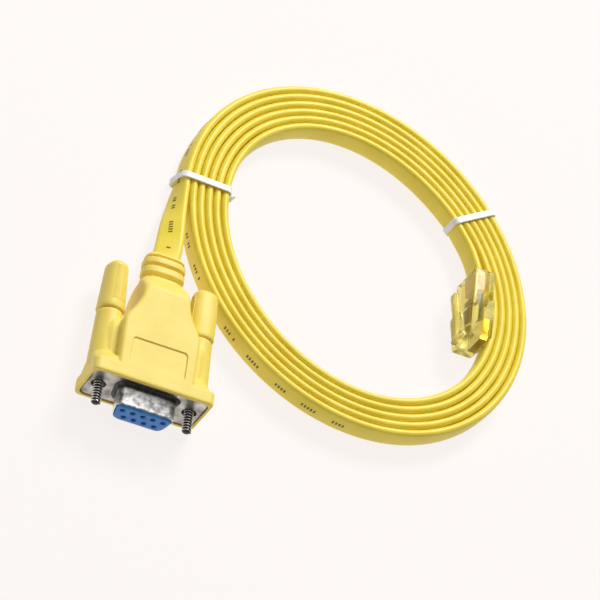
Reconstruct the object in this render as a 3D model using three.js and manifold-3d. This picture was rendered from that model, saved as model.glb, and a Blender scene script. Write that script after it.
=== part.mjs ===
import * as THREE from 'three';
import { mergeVertices } from 'three/addons/utils/BufferGeometryUtils.js';
import Module from 'manifold-3d';

const wasm = await Module();
wasm.setup();

// Console cable: a nine-way socket connector with two thumbscrews, a flat cable wound in an oval
// coil and held by two ties, and a clear eight-way plug with a spring latch.
// Millimetres. X runs across the socket connector, Y from its mating face to its cable end, Z up.
// Lengths along Y count from the front of the metal flange, and the whole is centred at the end.

// Fits
const seatGap = 0.3;
const slideGap = 0.15;
const tieGap = 0.15;
const cutPast = 1;

// Socket connector: flange, shell and insulator
const flangePastScrews = 2.905;
const flangeHeight = 12.5;
const flangeThickness = 0.6;
const flangeCorner = 1.6;
const shellPastContacts = 2.61;
const shellPastRows = 2.53;
const shellCorner = 2.4;
const shellReach = 5.9;
const shellWall = 0.45;
const shellSlopeDeg = 10;
const shellFlare = 0.5;
const insulatorProud = 0.45;
const insulatorBehind = 4;
const insulatorChamfer = 0.4;

// Socket contacts: five over four
const contactPitch = 2.77;
const rowSpacing = 2.84;
const upperContacts = 5;
const lowerContacts = 4;
const contactHole = 1.3;
const contactOuter = 1.0;
const contactBore = 0.6;
const contactSetBack = 0.6;
const contactLength = 8;
const contactSides = 8;
const contactHoleSides = 10;

// Thumbscrews
const screwSpacing = 24.99;
const screwDiameter = 2.84;
const screwReach = 6;
const screwChamfer = 0.5;
const screwInKnob = 8;
const screwHole = 3.5;
const screwSides = 14;
const knobLength = 15;
const knobWide = 7.3;
const knobBaseThick = 7;
const knobTipThick = 5.4;
const knobTipRound = 1.9;
const knobTipWide = 6.6;
const knobEdge = 0.3;
const knobEdgeLength = 0.5;
const knobWaistShare = 1 / 3;
const knobWaistThinner = 0.5;
const knobTipMiddle = 0.8;
const knobTipEnd = 0.5;
const knobTipShare = 1 / 3;
const knobSquareness = 0.8;
const leftKnobTurnDeg = 75;

// Moulded hood
const hoodHeight = 15.2;
const rimWall = 0.8;
const rimDepth = 3.6;
const rimLip = 0.3;
const rimCorner = 1.3;
const blockWidth = 21;
const blockStraight = 18.5;
const neckWidth = 13.6;
const neckStart = 26.5;
const blockEnd = 33;
const slopeStart = 28;
const blockEdge = 0.8;
const shoulderCurve = 3;
const neckCurve = 4;
const neckEase = 0.6;
const slopeCurve = 1;
const slopeEase = 0.4;
const barrelLength = 21.3;
const barrelMiddle = 3.9;
const barrelRear = 3.5;
const barrelFlareEnd = 8;
const barrelSides = 20;
const channelSides = 28;
const channelClearance = 0.45;
const panelWidth = 15.4;
const panelStart = 4;
const panelEnd = 12.2;
const panelDepth = 0.3;
const panelCorner = 1;

// Strain relief, moulded with the hood
const reliefWidth = 11.4;
const reliefHeight = 7.5;
const reliefEnd = 42;
const reliefTaper = 1.1;
const grooveDepth = 0.6;
const grooveWidth = 0.9;
const grooveMouth = 0.2;
const grooveFloor = 0.1;
const grooveCentres = [35, 38.1, 40.4];
const reliefRoot = 2;
const reliefSquareness = 0.75;

// Flat cable and its oval coil
const cableWidth = 6.6;
const cableThickness = 2.1;
const coilCentreX = 54.4;
const coilCentreY = 64;
const coilLongRadius = 54.6;
const coilShortRadius = 48.3;
const coilLongAxisDeg = 135;
const coilStartDeg = 40.5;
const tailTurnDeg = 136;
const innerTurns = 5;
const turnPitch = 2.34;
const pinch = 0.2;
const pinchAtDeg = 15;
const pinchNarrowness = 6;
const coilStepDeg = 7.5;
const grooveBetweenTurns = 0.9;
const edgeFlat = 0.2;
const jointTaper = 0.06;
const jointDeg = 0.6;
const jointRampDeg = 0.2;

// The cable's two free ends, points along the middle of the cable
const leadRoute = [
  [0, 42.3, 7.6], [0.1, 45, 7.55], [0.3, 48, 7.3], [0.6, 51, 6.85], [0.95, 54, 6.25],
  [1.3, 57, 5.55], [1.7, 60, 4.9], [2.05, 63, 4.4], [2.4, 66, 4.08], [2.7, 68.6, 3.96], [2.83, 70.85, 3.95],
];
const leadTwistStart = 0.08;
const leadTwistEnd = 0.86;
const tailRoute = [
  [83.12, 86.25, 3.95], [84.8, 83.75, 4.1], [86.5, 81.0, 4.4], [87.85, 78.0, 4.85], [88.85, 74.8, 5.35],
  [89.6, 71.6, 5.8], [90.0, 68.6, 5.95], [90.1, 65.8, 5.95],
];
const cableSteps = 14;

// Ties
const tieWidth = 2.2;
const tieThickness = 0.5;
const tieTwistLength = 3.2;
const tieTwistDiameter = 1.5;
const tieTwistDrop = 2.2;
const tieTwistSides = 8;
const innerLeanDeg = 9;
const outerLeanDeg = -4;
const leftTieDeg = 1.2;
const rightTieDeg = 134.5;

// Eight-way plug, lying on its side
const plugNose = 49.5;
const plugLength = 21.5;
const plugWidth = 11.7;
const plugThickness = 6.5;
const plugCentreX = 90.1;
const plugFloorGap = 0.1;
const plugNoseChamfer = 0.6;
const plugShoulder = 12.2;
const plugWaist = 0.5;
const cavityDepth = 10;
const cavityThickness = 3.3;
const cavityWidth = 8;
const wireSlotDepth = 5.5;
const wireSlotThickness = 1.6;
const plugContacts = 8;
const plugContactPitch = 1.02;
const plugContactThickness = 0.35;
const plugContactLength = 6;
const plugContactDepth = 2.2;
const plugContactSetBack = 1.1;
const plugContactBelow = 0.35;

// Plug latch
const latchLength = 14.5;
const latchRootWidth = 6.4;
const latchLeverWidth = 3.4;
const latchRootLength = 6.2;
const latchThickness = 1.1;
const latchAngleDeg = 13;
const latchRootFromNose = 2;
const latchFootLength = 0.9;

// Smoothness of curves, and how near two corners are when they are one
const curveSteps = 4;
const ovalSides = 16;
const mergeDistance = 1e-4;

const paint = (color, roughness, metalness) => new THREE.MeshStandardMaterial({ color, roughness, metalness });
const yellowVinyl = paint(0xf4e06a, 0.45, 0);
const cableVinyl = paint(0xf2db5a, 0.4, 0);
const brightNickel = paint(0xc9c9c6, 0.25, 1);
const screwSteel = paint(0x9a9a98, 0.35, 1);
const bluePlastic = paint(0x3f78b4, 0.45, 0);
const goldPlate = paint(0xc9a14a, 0.3, 1);
const clearPlastic = new THREE.MeshStandardMaterial({
  color: 0xe9e4c4, roughness: 0.1, transparent: true, opacity: 0.4,
});
const whiteTie = paint(0xf4f3f0, 0.5, 0);

// Sizes that follow from the ones above
const screwX = screwSpacing / 2;
const flangeWidth = screwSpacing + 2 * flangePastScrews;
const rimWidth = flangeWidth + 2 * seatGap + 2 * rimWall;
const shellWidth = (upperContacts - 1) * contactPitch + 2 * shellPastContacts;
const shellHeight = rowSpacing + 2 * shellPastRows;
const midHeight = hoodHeight / 2;
const insulatorFront = -(shellReach + insulatorProud);
const knobStart = barrelLength + seatGap;
const cableBase = tieThickness + tieGap;
const plugMidHeight = plugFloorGap + plugWidth / 2;
const centreShift = -(insulatorFront + reliefEnd) / 2;
const rad = THREE.MathUtils.degToRad;

// A closed mesh becomes a solid: shared vertices merged, faces pointing out
function solid(geometry) {
  const bare = new THREE.BufferGeometry();
  bare.setAttribute('position', geometry.getAttribute('position').clone());
  if (geometry.index) {
    bare.setIndex(geometry.index.clone());
  }
  const merged = mergeVertices(bare, mergeDistance);
  const at = merged.getAttribute('position');
  const index = merged.index.array;
  const corner = (i) => new THREE.Vector3().fromBufferAttribute(at, i);
  const kept = [];
  let volume = 0;
  for (let i = 0; i < index.length; i += 3) {
    const [a, b, c] = [index[i], index[i + 1], index[i + 2]];
    if (a !== b && b !== c && c !== a) {
      kept.push([a, b, c]);
      volume += corner(a).dot(corner(b).cross(corner(c)));
    }
  }
  const facing = kept.map(([a, b, c]) => (volume < 0 ? [a, c, b] : [a, b, c]));
  return new wasm.Manifold(new wasm.Mesh({
    numProp: 3,
    vertProperties: new Float32Array(at.array),
    triVerts: new Uint32Array(facing.flat()),
  }));
}

function surface(body) {
  const mesh = body.getMesh();
  const geometry = new THREE.BufferGeometry();
  geometry.setAttribute('position', new THREE.BufferAttribute(new Float32Array(mesh.vertProperties), 3));
  geometry.setIndex(new THREE.BufferAttribute(new Uint32Array(mesh.triVerts), 1));
  return geometry;
}

const join = (bodies) => bodies.reduce((all, body) => all.add(body));
const cut = (body, tools) => tools.reduce((rest, tool) => rest.subtract(tool), body);

// Prisms of a flat outline: along Z from the XY plane, along Y from XZ, along X from YZ
function alongZ(shape, low, high, options = {}) {
  const geometry = new THREE.ExtrudeGeometry(shape, {
    depth: high - low, bevelEnabled: false, curveSegments: curveSteps, ...options,
  });
  return geometry.translate(0, 0, low);
}

function alongY(shape, low, high, options) {
  const turn = new THREE.Matrix4().makeBasis(
    new THREE.Vector3(1, 0, 0), new THREE.Vector3(0, 0, 1), new THREE.Vector3(0, -1, 0));
  return alongZ(shape, -high, -low, options).applyMatrix4(turn);
}

function alongX(shape, low, high, options) {
  const turn = new THREE.Matrix4().makeBasis(
    new THREE.Vector3(0, 1, 0), new THREE.Vector3(0, 0, 1), new THREE.Vector3(1, 0, 0));
  return alongZ(shape, low, high, options).applyMatrix4(turn);
}

function roundedRectangle(width, height, radius, x = 0, y = 0) {
  const [w, h] = [width / 2, height / 2];
  const shape = new THREE.Shape();
  shape.absarc(x + w - radius, y - h + radius, radius, -Math.PI / 2, 0);
  shape.absarc(x + w - radius, y + h - radius, radius, 0, Math.PI / 2);
  shape.absarc(x - w + radius, y + h - radius, radius, Math.PI / 2, Math.PI);
  shape.absarc(x - w + radius, y - h + radius, radius, Math.PI, 1.5 * Math.PI);
  return shape;
}

function circle(radius, x, y) {
  const shape = new THREE.Shape();
  shape.absarc(x, y, radius, 0, 2 * Math.PI);
  return shape;
}

function box(sizeX, sizeY, sizeZ, x, y, z) {
  return solid(new THREE.BoxGeometry(sizeX, sizeY, sizeZ).translate(x, y, z));
}

// A turned piece on an axis along Y: profile points are [radius, y]
function turned(profile, x, z, sides) {
  const points = profile.map(([radius, y]) => new THREE.Vector2(radius, y));
  return solid(new THREE.LatheGeometry(points, sides).translate(x, 0, z));
}

// A skin over rings of points with flat ends: outline is the ring in its own plane
function loft(rings, firstOutline, lastOutline = firstOutline) {
  const count = rings[0].length;
  const positions = rings.flat().flatMap((point) => point.toArray());
  const index = [];
  for (let ring = 0; ring + 1 < rings.length; ring += 1) {
    for (let i = 0; i < count; i += 1) {
      const a = ring * count + i;
      const b = ring * count + (i + 1) % count;
      index.push(a, b, a + count, b, b + count, a + count);
    }
  }
  const firstCap = THREE.ShapeUtils.triangulateShape(firstOutline, []);
  const lastCap = THREE.ShapeUtils.triangulateShape(lastOutline, []);
  const last = (rings.length - 1) * count;
  firstCap.forEach(([a, b, c]) => index.push(a, c, b));
  lastCap.forEach(([a, b, c]) => index.push(last + a, last + b, last + c));
  const geometry = new THREE.BufferGeometry();
  geometry.setAttribute('position', new THREE.Float32BufferAttribute(positions, 3));
  geometry.setIndex(index);
  return solid(geometry);
}

// Socket connector

// The D outline: wide side up, sides leaning in towards the bottom
function dOutline(inset) {
  const half = shellHeight / 2 - inset;
  const lean = Math.tan(rad(shellSlopeDeg));
  const radius = shellCorner - inset;
  const top = shellWidth / 2 - inset;
  const bottom = top - 2 * half * lean;
  const shape = new THREE.Shape();
  shape.moveTo(-bottom + radius, midHeight - half);
  shape.lineTo(bottom - radius, midHeight - half);
  shape.quadraticCurveTo(bottom, midHeight - half, bottom + radius * lean, midHeight - half + radius);
  shape.lineTo(top - radius * lean, midHeight + half - radius);
  shape.quadraticCurveTo(top, midHeight + half, top - radius, midHeight + half);
  shape.lineTo(-top + radius, midHeight + half);
  shape.quadraticCurveTo(-top, midHeight + half, -top + radius * lean, midHeight + half - radius);
  shape.lineTo(-bottom - radius * lean, midHeight - half + radius);
  shape.quadraticCurveTo(-bottom, midHeight - half, -bottom + radius, midHeight - half);
  return shape;
}

function shellAndFlange() {
  const flange = roundedRectangle(flangeWidth, flangeHeight, flangeCorner, 0, midHeight);
  const plate = solid(alongY(flange, 0, flangeThickness));
  const tube = solid(alongY(dOutline(0), -shellReach, flangeThickness / 2));
  const foot = solid(alongY(dOutline(-shellFlare / 2), -shellFlare, flangeThickness / 2));
  const mouth = solid(alongY(dOutline(shellWall), -shellReach - cutPast, flangeThickness + cutPast));
  const holes = [-screwX, screwX].map((x) => solid(
    alongY(circle(screwHole / 2, x, midHeight), -cutPast, flangeThickness + cutPast)));
  return cut(join([plate, tube, foot]), [mouth, ...holes]);
}

function contactPlaces() {
  const row = (count, z) => Array.from({ length: count }, (_, i) => ({
    x: (i - (count - 1) / 2) * contactPitch, z,
  }));
  const half = rowSpacing / 2;
  return [...row(upperContacts, midHeight + half), ...row(lowerContacts, midHeight - half)];
}

function insulator() {
  const inset = shellWall + slideGap;
  const body = solid(alongY(
    dOutline(inset + insulatorChamfer), insulatorFront + insulatorChamfer, insulatorBehind,
    { bevelEnabled: true, bevelSize: insulatorChamfer, bevelThickness: insulatorChamfer, bevelSegments: 1 }));
  const rearCut = box(shellWidth, 2 * cutPast, shellHeight, 0, insulatorBehind + cutPast, midHeight);
  const holes = contactPlaces().map(({ x, z }) => turned(
    [[0, insulatorFront - cutPast], [contactHole / 2, insulatorFront - cutPast],
      [contactHole / 2, insulatorBehind + cutPast], [0, insulatorBehind + cutPast]], x, z, contactHoleSides));
  return cut(body, [rearCut, ...holes]);
}

function socketContact({ x, z }) {
  const front = insulatorFront + contactSetBack;
  const [bore, outer] = [contactBore / 2, contactOuter / 2];
  const back = front + contactLength;
  const section = [[bore, front], [outer, front], [outer, back], [bore, back], [bore, front]];
  return turned(section, x, z, contactSides);
}

// Thumbscrews

function thumbscrewRod(x) {
  const radius = screwDiameter / 2;
  const end = knobStart + screwInKnob;
  return turned([[0, -screwReach], [radius - screwChamfer, -screwReach], [radius, -screwReach + screwChamfer],
    [radius, end], [0, end]], x, midHeight, screwSides);
}

// A rounded rectangular section across Y, as ring points and as a flat outline
function ovalOutline(halfX, halfZ, squareness) {
  return Array.from({ length: ovalSides }, (_, i) => {
    const angle = (2 * Math.PI * (i + 0.5)) / ovalSides;
    const power = (value) => Math.sign(value) * Math.abs(value) ** squareness;
    return new THREE.Vector2(halfX * power(Math.cos(angle)), halfZ * power(Math.sin(angle)));
  });
}

function thumbscrewKnob(x, turnDeg) {
  const end = knobStart + knobLength;
  const tipWall = end - knobTipRound;
  const stations = [
    [knobStart, knobWide - 2 * knobEdge, knobBaseThick - 2 * knobEdge],
    [knobStart + knobEdgeLength, knobWide, knobBaseThick],
    [knobStart + knobLength * knobWaistShare, knobWide, knobBaseThick - knobWaistThinner],
    [tipWall, knobTipWide, knobTipThick],
    [end - knobTipRound * knobTipShare, knobTipWide * knobTipMiddle, knobTipThick * knobTipMiddle],
    [end, knobTipWide * knobTipEnd, knobTipThick * knobTipEnd],
  ];
  const turn = rad(turnDeg);
  const ring = ([y, wide, thick]) => ovalOutline(wide / 2, thick / 2, knobSquareness).map((point) => {
    const spun = point.clone().rotateAround(new THREE.Vector2(), turn);
    return new THREE.Vector3(x + spun.x, y, midHeight + spun.y);
  });
  const cap = ovalOutline(1, 1, knobSquareness);
  const body = loft(stations.map(ring), cap);
  const socket = screwDiameter / 2 + slideGap;
  const depth = knobStart + screwInKnob + seatGap;
  const boreLine = [[0, knobStart - cutPast], [socket, knobStart - cutPast], [socket, depth], [0, depth]];
  const bore = turned(boreLine, x, midHeight, screwSides);
  return cut(body, [bore]);
}

// Hood with its strain relief

function hoodBlock() {
  const [wide, neck, end] = [blockWidth / 2, neckWidth / 2, reliefWidth / 2];
  const plan = new THREE.Shape();
  plan.moveTo(-wide, blockEdge);
  plan.lineTo(wide, blockEdge);
  plan.lineTo(wide, blockStraight);
  plan.bezierCurveTo(
    wide, blockStraight + shoulderCurve, neck + neckEase, neckStart - neckCurve, neck, neckStart);
  plan.lineTo(end, blockEnd);
  plan.lineTo(-end, blockEnd);
  plan.lineTo(-neck, neckStart);
  plan.bezierCurveTo(
    -neck - neckEase, neckStart - neckCurve, -wide, blockStraight + shoulderCurve, -wide, blockStraight);
  const rounded = alongZ(plan, blockEdge, hoodHeight - blockEdge, {
    bevelEnabled: true, bevelSize: blockEdge, bevelThickness: blockEdge, bevelOffset: -blockEdge, bevelSegments: 2,
  });
  const drop = (hoodHeight - reliefHeight) / 2;
  const side = new THREE.Shape();
  side.moveTo(0, -cutPast);
  side.lineTo(slopeStart, -cutPast);
  side.lineTo(slopeStart, 0);
  side.quadraticCurveTo(blockEnd - slopeCurve, slopeEase, blockEnd + blockEdge, drop);
  side.lineTo(blockEnd + blockEdge, hoodHeight - drop);
  side.quadraticCurveTo(blockEnd - slopeCurve, hoodHeight - slopeEase, slopeStart, hoodHeight);
  side.lineTo(slopeStart, hoodHeight + cutPast);
  side.lineTo(0, hoodHeight + cutPast);
  return solid(rounded).intersect(solid(alongX(side, -blockWidth, blockWidth)));
}

function screwBarrel(x) {
  const barrelFront = rimWidth / 2 - screwX;
  return turned([[0, rimDepth / 2], [barrelFront, rimDepth / 2], [barrelFront, rimDepth],
    [barrelMiddle, barrelFlareEnd], [barrelRear, barrelLength], [0, barrelLength]], x, midHeight, barrelSides);
}

function strainRelief() {
  const stations = [[blockEnd - reliefRoot, 0]];
  for (const centre of grooveCentres) {
    const half = grooveWidth / 2;
    stations.push([centre - half - grooveMouth, 0], [centre - half + grooveFloor, grooveDepth]);
    stations.push([centre + half - grooveFloor, grooveDepth], [centre + half + grooveMouth, 0]);
  }
  stations.push([reliefEnd, reliefTaper]);
  const ring = ([y, inset]) => ovalOutline(reliefWidth / 2 - inset, reliefHeight / 2 - inset, reliefSquareness)
    .map((point) => new THREE.Vector3(point.x, y, midHeight + point.y));
  return loft(stations.map(ring), ovalOutline(1, 1, reliefSquareness));
}

function hood() {
  const rim = solid(alongY(roundedRectangle(rimWidth, hoodHeight, rimCorner, 0, midHeight), -rimLip, rimDepth));
  const moulding = join([rim, hoodBlock(), screwBarrel(-screwX), screwBarrel(screwX), strainRelief()]);
  const pocketBack = flangeThickness + seatGap;
  const pocket = roundedRectangle(
    flangeWidth + 2 * seatGap, flangeHeight + 2 * seatGap, flangeCorner + seatGap, 0, midHeight);
  const insulatorRoom = roundedRectangle(
    shellWidth + 2 * seatGap, shellHeight + 2 * seatGap, shellCorner, 0, midHeight);
  const panel = roundedRectangle(
    panelWidth, panelEnd - panelStart, panelCorner, 0, (panelStart + panelEnd) / 2);
  const channelRadius = knobWide / 2 + channelClearance;
  const tools = [
    solid(alongY(pocket, -rimLip - cutPast, pocketBack)),
    solid(alongY(insulatorRoom, 0, insulatorBehind + seatGap)),
    solid(alongZ(panel, hoodHeight - panelDepth, hoodHeight + cutPast)),
  ];
  for (const x of [-screwX, screwX]) {
    tools.push(solid(alongY(circle(screwHole / 2, x, midHeight), -cutPast, barrelLength + cutPast)));
    tools.push(turned([[0, barrelLength], [channelRadius, barrelLength], [channelRadius, reliefEnd],
      [0, reliefEnd]], x, midHeight, channelSides));
  }
  return cut(moulding, tools);
}

// Flat cable

// A place on the coil: turn is how far round from the first tie, and one turn lies inside the last
function coilPlace(turn) {
  const t = rad(coilStartDeg) - turn;
  const normal = new THREE.Vector2(coilShortRadius * Math.cos(t), coilLongRadius * Math.sin(t)).normalize();
  const point = new THREE.Vector2(coilLongRadius * Math.cos(t), coilShortRadius * Math.sin(t));
  const facing = point.angle() + rad(coilLongAxisDeg);
  const pinched = Math.max(0, Math.cos(facing - rad(pinchAtDeg))) ** pinchNarrowness;
  const pitch = turnPitch - pinch * pinched;
  point.addScaledVector(normal, (-pitch * turn) / (2 * Math.PI));
  const centre = new THREE.Vector2();
  point.rotateAround(centre, rad(coilLongAxisDeg)).add(new THREE.Vector2(coilCentreX, coilCentreY));
  normal.rotateAround(centre, rad(coilLongAxisDeg));
  return { point, normal, pitch };
}

// The bundle's section: each cable's rounded edge shows above and below, x counts inwards
function bundleOutline(cables, pitch, inset = 0) {
  const half = cableWidth / 2 - inset;
  const side = cableThickness / 2 - inset;
  const flat = cableThickness * edgeFlat;
  const top = [];
  for (let i = 0; i < cables; i += 1) {
    const middle = i * pitch;
    top.push([middle - flat, half], [middle + flat, half]);
    if (i < cables - 1) {
      top.push([middle + pitch / 2, half - grooveBetweenTurns]);
    }
  }
  const far = (cables - 1) * pitch + side;
  const outline = [[-side, half - side], ...top, [far, half - side]];
  const below = outline.map(([x, y]) => [x, -y]).reverse();
  return [...outline, ...below].reverse().map(([x, y]) => new THREE.Vector2(x, y));
}

function bundle(cables, fromDeg, toDeg, entersDeg) {
  const steps = Math.ceil((toDeg - fromDeg) / coilStepDeg);
  const stations = Array.from({ length: steps + 1 }, (_, i) => [fromDeg + ((toDeg - fromDeg) * i) / steps, 0]);
  if (entersDeg > 0) {
    stations[0][0] += jointRampDeg;
    stations[steps][0] -= jointRampDeg;
    stations.unshift([fromDeg - entersDeg, jointTaper]);
    stations.push([toDeg + entersDeg, jointTaper]);
  }
  const rings = stations.map(([deg, inset]) => {
    const { point, normal, pitch } = coilPlace(rad(deg));
    return bundleOutline(cables, pitch, inset).map(({ x, y }) => new THREE.Vector3(
      point.x - normal.x * x, point.y - normal.y * x, cableBase + cableWidth / 2 + y));
  });
  return loft(rings, bundleOutline(cables, turnPitch));
}

// Six cables side by side from the first tie to the tail's start, five for the rest of the way
function coil() {
  return join([
    bundle(innerTurns + 1, 0, tailTurnDeg, 0),
    bundle(innerTurns, tailTurnDeg, 360, jointDeg),
  ]);
}

function cableOutline() {
  const [side, half] = [cableThickness / 2, cableWidth / 2];
  const flat = cableThickness * edgeFlat;
  const corners = [[side, half - side], [flat, half], [-flat, half], [-side, half - side],
    [-side, side - half], [-flat, -half], [flat, -half], [side, side - half]];
  return corners.map(([x, y]) => new THREE.Vector2(x, y));
}

// A free stretch of the cable: twist 0 lays it flat, 1 stands it on its edge
function freeCable(route, twist) {
  const curve = new THREE.CatmullRomCurve3(route.map((point) => new THREE.Vector3(...point)));
  const up = new THREE.Vector3(0, 0, 1);
  const rings = Array.from({ length: cableSteps + 1 }, (_, i) => {
    const share = i / cableSteps;
    const centre = curve.getPointAt(share);
    const tangent = curve.getTangentAt(share);
    const across = tangent.clone().cross(up).normalize();
    const width = across.applyAxisAngle(tangent, (-Math.PI / 2) * twist(share));
    const thick = tangent.clone().cross(width);
    return cableOutline().map(({ x, y }) => centre.clone().addScaledVector(thick, x).addScaledVector(width, y));
  });
  return loft(rings, cableOutline());
}

const leadTwist = (share) => THREE.MathUtils.smoothstep(share, leadTwistStart, leadTwistEnd);
const standing = () => 1;

// A tie: a flat band round the bundle, its ends twisted together low on the side given
function tie(atDeg, side, leanDeg) {
  const { point, normal, pitch } = coilPlace(rad(atDeg));
  const bundleWidth = innerTurns * pitch + cableThickness;
  const inner = roundedRectangle(bundleWidth + 2 * tieGap, cableWidth + 2 * tieGap, cableThickness / 2 + tieGap);
  const outer = roundedRectangle(bundleWidth + 2 * tieGap + 2 * tieThickness,
    cableWidth + 2 * tieGap + 2 * tieThickness, cableThickness / 2 + tieGap + tieThickness);
  outer.holes.push(inner);
  const band = alongY(outer, -tieWidth / 2, tieWidth / 2);
  const edge = side * (bundleWidth / 2 + tieGap + tieThickness);
  const twistRadius = tieTwistDiameter / 2;
  const twist = new THREE.CylinderGeometry(twistRadius, twistRadius, tieTwistLength, tieTwistSides)
    .translate(0, tieTwistLength / 2, 0)
    .rotateZ(-side * rad(leanDeg))
    .translate(edge + side * (twistRadius - tieThickness / 2), 0, -tieTwistDrop);
  const middle = point.clone().addScaledVector(normal, (-innerTurns * pitch) / 2);
  const facing = normal.angle() + Math.PI;
  const place = new THREE.Matrix4().makeRotationZ(facing)
    .setPosition(middle.x, middle.y, cableBase + cableWidth / 2);
  return join([solid(band), solid(twist)]).transform(place.elements);
}

// Plug

const plugRear = plugNose + plugLength;
const contactSide = plugCentreX + plugThickness / 2;
const latchSide = plugCentreX - plugThickness / 2;

function plugContactHeight(number) {
  return plugMidHeight + (number - (plugContacts - 1) / 2) * plugContactPitch;
}

function plugBody() {
  const half = plugThickness / 2;
  const side = new THREE.Shape();
  side.moveTo(plugCentreX - half + plugNoseChamfer, plugNose);
  side.lineTo(plugCentreX + half - plugNoseChamfer, plugNose);
  side.lineTo(plugCentreX + half, plugNose + plugNoseChamfer);
  side.lineTo(plugCentreX + half, plugNose + plugShoulder);
  side.lineTo(plugCentreX + half - plugWaist, plugNose + plugShoulder + plugWaist);
  side.lineTo(plugCentreX + half - plugWaist, plugRear);
  side.lineTo(plugCentreX - half, plugRear);
  side.lineTo(plugCentreX - half, plugNose + plugNoseChamfer);
  const footHeight = seatGap + latchThickness;
  const foot = box(footHeight + plugNoseChamfer, latchFootLength, latchRootWidth,
    latchSide - (footHeight - plugNoseChamfer) / 2,
    plugNose + latchRootFromNose - seatGap - latchFootLength / 2, plugMidHeight);
  const body = solid(alongZ(side, plugFloorGap, plugFloorGap + plugWidth)).add(foot);
  const tools = [
    box(cavityThickness, cavityDepth + cutPast, cavityWidth,
      plugCentreX, plugRear - (cavityDepth - cutPast) / 2, plugMidHeight),
    box(wireSlotThickness, wireSlotDepth + cutPast, cavityWidth,
      plugCentreX, plugRear - cavityDepth - (wireSlotDepth - cutPast) / 2, plugMidHeight),
  ];
  for (let number = 0; number < plugContacts; number += 1) {
    const depth = plugContactDepth + plugContactBelow + slideGap;
    tools.push(box(depth + cutPast, plugContactLength + 2 * slideGap, plugContactThickness + 2 * slideGap,
      contactSide - (depth - cutPast) / 2,
      plugNose + plugContactSetBack + plugContactLength / 2, plugContactHeight(number)));
  }
  return cut(body, tools);
}

function plugContact(number) {
  return box(plugContactDepth, plugContactLength, plugContactThickness,
    contactSide - plugContactBelow - plugContactDepth / 2,
    plugNose + plugContactSetBack + plugContactLength / 2, plugContactHeight(number));
}

// The latch leaves the body near the nose and stands away from it towards the cable
function plugLatch() {
  const lever = new THREE.Shape();
  const [root, narrow] = [latchRootWidth / 2, latchLeverWidth / 2];
  lever.moveTo(0, -root);
  lever.lineTo(latchRootLength, -root);
  lever.lineTo(latchRootLength, -narrow);
  lever.lineTo(latchLength, -narrow);
  lever.lineTo(latchLength, narrow);
  lever.lineTo(latchRootLength, narrow);
  lever.lineTo(latchRootLength, root);
  lever.lineTo(0, root);
  const bar = alongX(lever, -latchThickness, 0);
  const lean = new THREE.Matrix4().makeRotationZ(rad(latchAngleDeg))
    .setPosition(latchSide - seatGap, plugNose + latchRootFromNose, plugMidHeight);
  return solid(bar.applyMatrix4(lean));
}

// Assembly
const cable = new THREE.Group();
cable.position.y = centreShift;

function add(name, body, material) {
  const mesh = new THREE.Mesh(surface(body), material);
  mesh.name = name;
  cable.add(mesh);
}

add('hood', hood(), yellowVinyl);
add('socket_shell', shellAndFlange(), brightNickel);
add('socket_insulator', insulator(), bluePlastic);
contactPlaces().forEach((place, i) => add(`socket_contact_${i + 1}`, socketContact(place), goldPlate));
add('thumbscrew_rod_left', thumbscrewRod(-screwX), screwSteel);
add('thumbscrew_rod_right', thumbscrewRod(screwX), screwSteel);
add('thumbscrew_knob_left', thumbscrewKnob(-screwX, leftKnobTurnDeg), yellowVinyl);
add('thumbscrew_knob_right', thumbscrewKnob(screwX, 0), yellowVinyl);
add('cable_lead', freeCable(leadRoute, leadTwist), cableVinyl);
add('cable_coil', coil(), cableVinyl);
add('cable_tail', freeCable(tailRoute, standing), cableVinyl);
add('tie_left', tie(leftTieDeg, 1, innerLeanDeg), whiteTie);
add('tie_right', tie(rightTieDeg, -1, outerLeanDeg), whiteTie);
add('plug_body', plugBody(), clearPlastic);
for (let number = 0; number < plugContacts; number += 1) {
  add(`plug_contact_${number + 1}`, plugContact(number), goldPlate);
}
add('plug_latch', plugLatch(), clearPlastic);

const part = new THREE.Group();
part.add(cable);

export default part;
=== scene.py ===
import math

import bmesh
import bpy
from mathutils import Matrix, Vector


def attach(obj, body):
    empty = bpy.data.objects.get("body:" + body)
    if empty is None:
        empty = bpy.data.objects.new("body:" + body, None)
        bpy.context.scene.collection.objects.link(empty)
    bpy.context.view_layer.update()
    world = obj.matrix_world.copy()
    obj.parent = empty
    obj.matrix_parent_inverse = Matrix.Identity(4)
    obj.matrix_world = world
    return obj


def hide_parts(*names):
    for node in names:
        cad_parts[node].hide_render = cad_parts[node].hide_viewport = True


# Console cable on a pale table: hood, thumbscrews and socket, flat cable in its coil, ties and plug.
# Lengths are millimetres from the front of the metal flange, and metres once a mesh is placed.

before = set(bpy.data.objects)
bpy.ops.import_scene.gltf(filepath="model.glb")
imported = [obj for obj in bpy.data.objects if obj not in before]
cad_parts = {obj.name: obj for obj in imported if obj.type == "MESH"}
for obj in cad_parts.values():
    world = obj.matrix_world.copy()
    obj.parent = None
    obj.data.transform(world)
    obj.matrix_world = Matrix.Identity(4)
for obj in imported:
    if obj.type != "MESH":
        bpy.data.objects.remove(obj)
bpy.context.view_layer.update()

MM = 0.001
FLANGE_Y = -17.825
MID_HEIGHT = 7.6

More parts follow.
